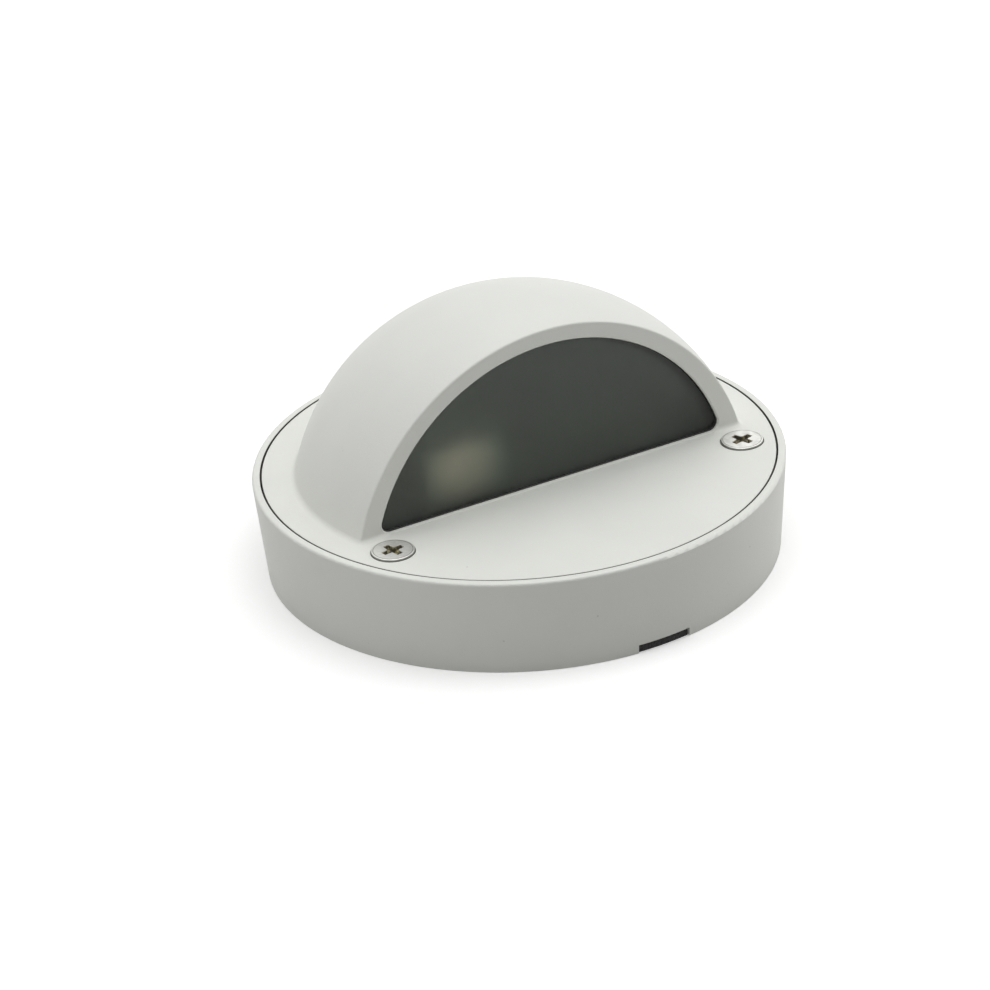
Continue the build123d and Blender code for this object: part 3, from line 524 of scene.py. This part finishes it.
def grid_piece(name, rows, start, end, material, body):
    """A closed surface from a grid of points, rows round a line from a start pole to an end pole."""
    count, turns = rows.shape[:2]
    points = np.concatenate([rows.reshape(-1, 3), [start, end]])
    index = np.arange(count * turns).reshape(count, turns)
    beside = np.roll(index, -1, axis=1)
    quads = np.stack([index[:-1], index[1:], beside[1:], beside[:-1]], axis=-1).reshape(-1, 4)
    first = np.stack([np.full(turns, count * turns), index[0], beside[0]], axis=-1)
    last = np.stack([np.full(turns, count * turns + 1), beside[-1], index[-1]], axis=-1)
    mesh = bpy.data.meshes.new(name)
    mesh.from_pydata(points.tolist(), [], quads.tolist() + first.tolist() + last.tolist())
    mesh.shade_smooth()
    mesh.set_sharp_from_angle(angle=SMOOTH_BELOW)
    mesh.materials.append(material)
    piece = bpy.data.objects.new(name, mesh)
    bpy.context.scene.collection.objects.link(piece)
    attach(piece, body)
    return piece


def run(low, high, count):
    """Evenly spaced numbers without the last one, so that runs can follow each other."""
    return np.linspace(low, high, count, endpoint=False)


def screw_rows(sizes, centre, top, tip, head_radius, recess_turn):
    """Points of a recessed, threaded screw.

    A profile of radius and level goes from the head's middle over its rounded edge, down its side,
    inwards and down the shank to the tip, and is turned about the axis. The head's level drops by
    the recess depth inside a round core, and inside two crossed arms that grow narrower and
    shallower outwards. The shank's radius drops by the thread depth times a triangle wave of
    level / pitch - angle / full turn, cut flat at crest and root, which fades out at both ends.
    """
    angle = run(0.0, FULL_TURN, SCREW_SIDES)[None, :]
    under = top - sizes.head_height
    shank = sizes.shank_radius
    crown = sizes.head_crown
    point = sizes.screw_point
    bend = run(0.0, FULL_TURN / 4, CROWN_RINGS)
    radius = np.concatenate([
        run(POLE_RADIUS, head_radius - crown, HEAD_RINGS), head_radius - crown + crown * np.sin(bend),
        np.full(SIDE_RINGS, head_radius), run(head_radius, shank, UNDER_RINGS),
        np.full(THREAD_RINGS, shank), run(shank, shank - point, POINT_RINGS),
        run(shank - point, POLE_RADIUS, TIP_RINGS)])
    height = np.concatenate([
        np.full(HEAD_RINGS, top), top - crown + crown * np.cos(bend),
        run(top - crown, under, SIDE_RINGS), np.full(UNDER_RINGS, under),
        run(under, tip + point, THREAD_RINGS), run(tip + point, tip, POINT_RINGS),
        np.full(TIP_RINGS, tip)])
    radius = radius[:, None] + 0 * angle
    height = height[:, None] + 0 * angle
    x = radius * np.cos(angle)
    y = radius * np.sin(angle)
    soft = 0.07 * MM
    arm_width = 1.08
    arm_narrowing = 0.2
    arm_shallowing = 0.42
    depth = np.zeros_like(x)
    for turn in (recess_turn, recess_turn + FULL_TURN / 4):
        along = np.abs(x * math.cos(turn) + y * math.sin(turn))
        across = np.abs(y * math.cos(turn) - x * math.sin(turn))
        share = along / sizes.recess_reach
        wide = sizes.recess_arm / 2 * (arm_width - arm_narrowing * share)
        inside = np.clip((wide - across) / soft, 0, 1) * np.clip((sizes.recess_reach - along) / soft, 0, 1)
        depth = np.maximum(depth, inside * sizes.recess_depth * (1.0 - arm_shallowing * share))
    core = np.clip((sizes.recess_core - radius) / soft, 0, 1)
    depth = np.maximum(depth, core * sizes.recess_depth)
    on_top = np.arange(len(radius))[:, None] < HEAD_RINGS
    height = height - depth * on_top
    phase = np.mod(height / sizes.thread_pitch - angle / FULL_TURN, 1.0)
    wave = np.clip(np.abs(phase - 0.5) * 2.6 - 0.15, 0, 1)
    plain_neck = 1.2 * MM
    plain_end = 0.3 * MM
    fade = np.clip((under - plain_neck - height) / MM, 0, 1) * np.clip((height - tip - plain_end) / MM, 0, 1)
    threaded = (radius > shank * 0.999) & (height < under)
    radius = radius - sizes.thread_depth * wave * fade * threaded
    return np.stack([centre[0] + radius * np.cos(angle), centre[1] + radius * np.sin(angle), height], axis=-1)


def coil_rows(sizes, low, high):
    """Points of the lamp's filament in its box.

    A path runs out along one leg, across through two rounded bends and back along the other leg.
    The wire's centre goes round that path on a circle, so many turns in all, and the circle grows
    from nothing on the straight legs. A small ring of points stands round that centre line.
    """
    reach = (high[2] - low[2]) / 2
    middle = (high[2] + low[2]) / 2
    bend = sizes.coil_bend
    left = low[1] + reach
    right = high[1] - reach
    end = high[0] - reach
    turn = np.linspace(0, FULL_TURN / 4, BEND_POINTS)
    path = np.concatenate([
        np.stack([np.linspace(low[0], end - bend, LEG_POINTS), np.full(LEG_POINTS, left)], axis=-1),
        np.stack([end - bend + bend * np.sin(turn), left + bend - bend * np.cos(turn)], axis=-1)[1:],
        np.stack([end - bend + bend * np.cos(turn), right - bend + bend * np.sin(turn)], axis=-1),
        np.stack([np.linspace(end - bend, low[0], LEG_POINTS), np.full(LEG_POINTS, right)], axis=-1)[1:]])
    reached = np.concatenate([[0], np.cumsum(np.hypot(*np.diff(path, axis=0).T))])
    step = np.linspace(0, reached[-1], sizes.coil_turns * COIL_STEPS)
    line = np.stack([np.interp(step, reached, path[:, 0]), np.interp(step, reached, path[:, 1])], axis=-1)
    way = np.gradient(line, axis=0)
    way /= np.linalg.norm(way, axis=1)[:, None]
    share = step / reached[-1]
    leg = 0.16
    growth = 0.04
    grown = np.clip((share - leg) / growth, 0, 1) * np.clip((1.0 - leg - share) / growth, 0, 1)
    turned = np.clip((share - leg) / (1.0 - 2 * leg), 0, 1) * sizes.coil_turns * FULL_TURN
    out = (reach - sizes.coil_wire) * grown
    aside = np.stack([-way[:, 1], way[:, 0]], axis=-1)
    centre = np.concatenate([line + aside * (out * np.cos(turned))[:, None],
                             (middle + out * np.sin(turned))[:, None]], axis=-1)
    return tube_rows(centre, sizes.coil_wire, WIRE_SIDES)


def tube_rows(centre, radius, sides):
    """Rings of points round a centre line, each square to the line's own way."""
    way = np.gradient(centre, axis=0)
    way /= np.linalg.norm(way, axis=1)[:, None]
    up = np.array([0.0, 0.0, 1.0]) + 0 * way
    first = np.cross(way, up)
    first /= np.linalg.norm(first, axis=1)[:, None]
    second = np.cross(way, first)
    angle = run(0.0, FULL_TURN, sides)[None, :, None]
    ring = first[:, None] * np.cos(angle) + second[:, None] * np.sin(angle)
    return centre[:, None] + radius * ring, centre[0], centre[-1]


# ------------------------------------------------------------ operators
class STEPLIGHT_OT_castings(bpy.types.Operator):
    """Powder-coated cup and cover"""
    bl_idname = "steplight.castings"
    bl_label = "Cup and Cover"

    def execute(self, context):
        low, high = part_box("cover_hood")
        start = (high.x - low.x) / 2
        end = start + context.scene.step_light_sizes.gap_width
        coat = powder_coat(context.scene.step_light_colours, start, end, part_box("cover_gasket")[1].z,
                           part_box("base_casing")[1].z)
        finish_nodes(coat, "powder_coat", "base_casing", "cover_hood")
        return {"FINISHED"}


class STEPLIGHT_OT_seals(bpy.types.Operator):
    """Rubber seals, washers and grommet, and the foam wall gasket"""
    bl_idname = "steplight.seals"
    bl_label = "Seals and Gasket"

    def execute(self, context):
        colours = context.scene.step_light_colours
        finish_nodes(black_rubber(colours), "black_rubber", "cable_grommet", "cover_gasket", "window_seal",
                     "left_screw_washer", "right_screw_washer")
        finish_nodes(foam(colours), "foam", "wall_gasket")
        return {"FINISHED"}


class STEPLIGHT_OT_window(bpy.types.Operator):
    """Frosted half-moon pane"""
    bl_idname = "steplight.window"
    bl_label = "Window"

    def execute(self, context):
        low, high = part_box("window_glass")
        sizes = context.scene.step_light_sizes
        # centre of the painted pale spot that stands in for the lamp seen through the pane
        patch = Vector((sizes.patch_side, 0.0, low.z + sizes.patch_rise))
        arc = Vector((0.0, 0.0, high.z - sizes.pane_arc))
        # the black reaches past the held edge by the width of the painted shadow line
        hidden = sizes.pane_hold + sizes.seal_and_shadow_line
        glass = window_glass(context.scene.step_light_colours, patch, arc, sizes.pane_arc - hidden,
                             low.z + hidden)
        finish_nodes(glass, "frosted_glass", "window_glass")
        return {"FINISHED"}


class STEPLIGHT_OT_cover_screws(bpy.types.Operator):
    """Threaded cover screws with a cross recess"""
    bl_idname = "steplight.cover_screws"
    bl_label = "Cover Screws"

    def execute(self, context):
        sizes = context.scene.step_light_sizes
        for side, turn in (("left", sizes.left_turn), ("right", sizes.right_turn)):
            node = side + "_cover_screw"
            low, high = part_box(node)
            centre = (low + high) / 2
            head_radius = (high.x - low.x) / 2
            steel = turned_steel(node + "_steel", context.scene.step_light_colours.screw_steel, centre,
                                 head_radius, high.z, sizes.recess_reach, sizes.recess_depth)
            rows = screw_rows(sizes, centre, high.z, low.z, head_radius, turn)
            start = (centre.x, centre.y, rows[0, 0, 2])
            piece = grid_piece(side + "_threaded_screw", rows, start, (centre.x, centre.y, low.z),
                               steel, side + "_screw")
            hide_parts(node)
        return {"FINISHED"}


class STEPLIGHT_OT_sheet_metal(bpy.types.Operator):
    """Glass retainer, lampholder bracket, their screws and rivets, and the reflector tray"""
    bl_idname = "steplight.sheet_metal"
    bl_label = "Sheet Metal"

    def execute(self, context):
        colours = context.scene.step_light_colours
        finish_nodes(rolled_metal("zinc_plate", colours.zinc, 0.30), "plated_steel", "glass_retainer",
                     "retainer_screws", "tray_screws", "holder_bracket", "bracket_rivets", "holder_screws",
                     "terminal_fixing_screw", "terminal_screws")
        finish_nodes(enamel(colours), "tray_enamel", "reflector_tray")
        return {"FINISHED"}


class STEPLIGHT_OT_lampholder(bpy.types.Operator):
    """Ceramic lampholder and its nickel contacts"""
    bl_idname = "steplight.lampholder"
    bl_label = "Lampholder"

    def execute(self, context):
        colours = context.scene.step_light_colours
        finish_nodes(ceramic(colours), "ceramic", "lampholder")
        finish_nodes(rolled_metal("nickel", colours.nickel, 0.22), "nickel", "lamp_contacts", "lamp_pins")
        return {"FINISHED"}


class STEPLIGHT_OT_lamp(bpy.types.Operator):
    """Quartz capsule and its coiled filament"""
    bl_idname = "steplight.lamp"
    bl_label = "Capsule Lamp"

    def execute(self, context):
        colours = context.scene.step_light_colours
        finish_nodes(quartz(colours), "lamp_glass", "capsule_lamp")
        wire = rolled_metal("tungsten", colours.tungsten, 0.35)
        rows, start, end = coil_rows(context.scene.step_light_sizes, *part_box("lamp_filament"))
        piece = grid_piece("coiled_filament", rows, start, end, wire, "lamp")
        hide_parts("lamp_filament")
        return {"FINISHED"}


class STEPLIGHT_OT_wiring(bpy.types.Operator):
    """Terminal block, earth lug and the leads"""
    bl_idname = "steplight.wiring"
    bl_label = "Wiring"

    def execute(self, context):
        colours = context.scene.step_light_colours
        finish_nodes(nylon(colours), "terminal_nylon", "terminal_block")
        finish_nodes(rolled_metal("brass", colours.brass, 0.25), "brass", "terminal_barrels", "earth_screw")
        finish_nodes(rolled_metal("tinned_copper", colours.tin, 0.28), "tinned_copper", "earth_lug")
        finish_nodes(braided_sleeve("brown_sleeve", colours.brown), "brown_sleeve", "live_wire")
        finish_nodes(braided_sleeve("blue_sleeve", colours.blue), "blue_sleeve", "neutral_wire")
        low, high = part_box("earth_wire")
        striped = braided_sleeve("green_yellow_sleeve", colours.green, colours.yellow, (low + high) / 2)
        finish_nodes(striped, "green_yellow_sleeve", "earth_wire")
        return {"FINISHED"}


class STEPLIGHT_OT_stage(bpy.types.Operator):
    """White floor, soft lights and the camera"""
    bl_idname = "steplight.stage"
    bl_label = "Studio"

    def execute(self, context):
        studio = context.scene.step_light_studio
        lay_floor(studio)
        light_sky(studio)
        add_sun("overhead_light", studio.key, 70.0, (0.08, 0.14, 1.0))
        add_sun("front_light", studio.front, 70.0, (0.0, -0.35, 1.0))
        add_sun("left_light", studio.left, 60.0, (-1.0, 0.15, 0.35))
        add_sun("right_light", studio.right, 60.0, (1.0, -0.1, 0.35))
        place_camera(studio)
        context.scene.view_settings.view_transform = "Standard"
        return {"FINISHED"}


def seen_directly(graph):
    """1 for a ray from the camera, a reflection or a view through glass, and 0 for soft light."""
    path = graph.add("ShaderNodeLightPath")
    seen = path.value("Is Camera Ray").math("MAXIMUM", path.value("Is Glossy Ray"))
    return seen.math("MAXIMUM", path.value("Is Transmission Ray"))


def lay_floor(studio):
    """A flat white floor that takes the light's shadow, just under the light's back."""
    half = 6.0
    level = -0.02 * MM
    mesh = bpy.data.meshes.new("floor")
    corners = [(-half, -half, level), (half, -half, level), (half, half, level), (-half, half, level)]
    mesh.from_pydata(corners, [], [(0, 1, 2, 3)])
    floor = bpy.data.objects.new("floor", mesh)
    bpy.context.scene.collection.objects.link(floor)
    material = bpy.data.materials.new("white_floor")
    material.use_nodes = True
    graph = Graph(material.node_tree)
    white = graph.add("ShaderNodeBsdfDiffuse", None, {"Color": FLOOR_WHITE})
    glow = graph.add("ShaderNodeEmission", None, {"Strength": studio.floor_glow})
    bright = graph.add("ShaderNodeAddShader", None, [white.value(0), glow.value(0)])
    dull = graph.add("ShaderNodeBsdfDiffuse", None, {"Color": FLOOR_GREY})
    mixed = graph.add("ShaderNodeMixShader", None, [seen_directly(graph), dull.value(0), bright.value(0)])
    graph.add("ShaderNodeOutputMaterial", None, {"Surface": mixed.value(0)})
    mesh.materials.append(material)


def light_sky(studio):
    """An even sky that is white where it is seen and dim where it lights."""
    world = bpy.data.worlds.new("studio_sky")
    world.use_nodes = True
    graph = Graph(world.node_tree)
    strength = seen_directly(graph) * (1.0 - studio.sky) + studio.sky
    sky = graph.add("ShaderNodeBackground", None, {"Color": (1.0, 1.0, 1.0, 1.0), "Strength": strength})
    graph.add("ShaderNodeOutputWorld", None, {"Surface": sky.value(0)})
    bpy.context.scene.world = world


def add_sun(name, strength, spread, way):
    """A soft distant light that shines from a direction."""
    lamp = bpy.data.lights.new(name, "SUN")
    lamp.energy = strength
    lamp.angle = math.radians(spread)
    sun = bpy.data.objects.new(name, lamp)
    sun.rotation_euler = Vector(way).to_track_quat("Z", "Y").to_euler()
    bpy.context.scene.collection.objects.link(sun)


def place_camera(studio):
    """The camera stands on a line back from the object, rolled about it."""
    turn, rise, roll = studio.azimuth, studio.elevation, studio.roll
    back = Vector((math.sin(turn) * math.cos(rise), -math.cos(turn) * math.cos(rise), math.sin(rise)))
    level = Vector((math.cos(turn), math.sin(turn), 0.0))
    upright = back.cross(level)
    right = level * math.cos(roll) + upright * math.sin(roll)
    up = upright * math.cos(roll) - level * math.sin(roll)
    lens = bpy.data.cameras.new("camera")
    lens.lens = studio.focal
    lens.sensor_width = SENSOR_WIDTH
    camera = bpy.data.objects.new("camera", lens)
    camera.matrix_world = Matrix.Translation(
        right * studio.aside + up * studio.above + back * studio.distance) @ Matrix(
        (right, up, back)).transposed().to_4x4()
    bpy.context.scene.collection.objects.link(camera)
    bpy.context.scene.camera = camera


class STEPLIGHT_PT_panel(bpy.types.Panel):
    """Sizes, colours and the steps that build the light"""
    bl_idname = "STEPLIGHT_PT_panel"
    bl_label = "Step Light"
    bl_space_type = "VIEW_3D"
    bl_region_type = "UI"
    bl_category = "Step Light"

    def draw(self, context):
        for operator in OPERATORS:
            self.layout.operator(operator.bl_idname)
        for group in (context.scene.step_light_sizes, context.scene.step_light_colours,
                      context.scene.step_light_studio):
            box = self.layout.box()
            for name in group.__annotations__:
                box.prop(group, name)


GROUPS = {"step_light_sizes": StepLightSizes, "step_light_colours": StepLightColours,
          "step_light_studio": StepLightStudio}
OPERATORS = (STEPLIGHT_OT_castings, STEPLIGHT_OT_seals, STEPLIGHT_OT_window, STEPLIGHT_OT_cover_screws,
             STEPLIGHT_OT_sheet_metal, STEPLIGHT_OT_lampholder, STEPLIGHT_OT_lamp, STEPLIGHT_OT_wiring,
             STEPLIGHT_OT_stage)


def register():
    """Adds the property groups, operators and panel."""
    for cls in (*GROUPS.values(), *OPERATORS, STEPLIGHT_PT_panel):
        bpy.utils.register_class(cls)
    for name, cls in GROUPS.items():
        setattr(bpy.types.Scene, name, PointerProperty(type=cls))


def unregister():
    """Removes what register added."""
    for name in GROUPS:
        delattr(bpy.types.Scene, name)
    for cls in reversed((*GROUPS.values(), *OPERATORS, STEPLIGHT_PT_panel)):
        bpy.utils.unregister_class(cls)


def main():
    """Builds every piece and the studio."""
    register()
    for operator in OPERATORS:
        group, name = operator.bl_idname.split(".")
        if getattr(getattr(bpy.ops, group), name)() != {"FINISHED"}:
            raise RuntimeError("the step " + operator.bl_label + " did not finish")


if __name__ == "__main__":
    main()
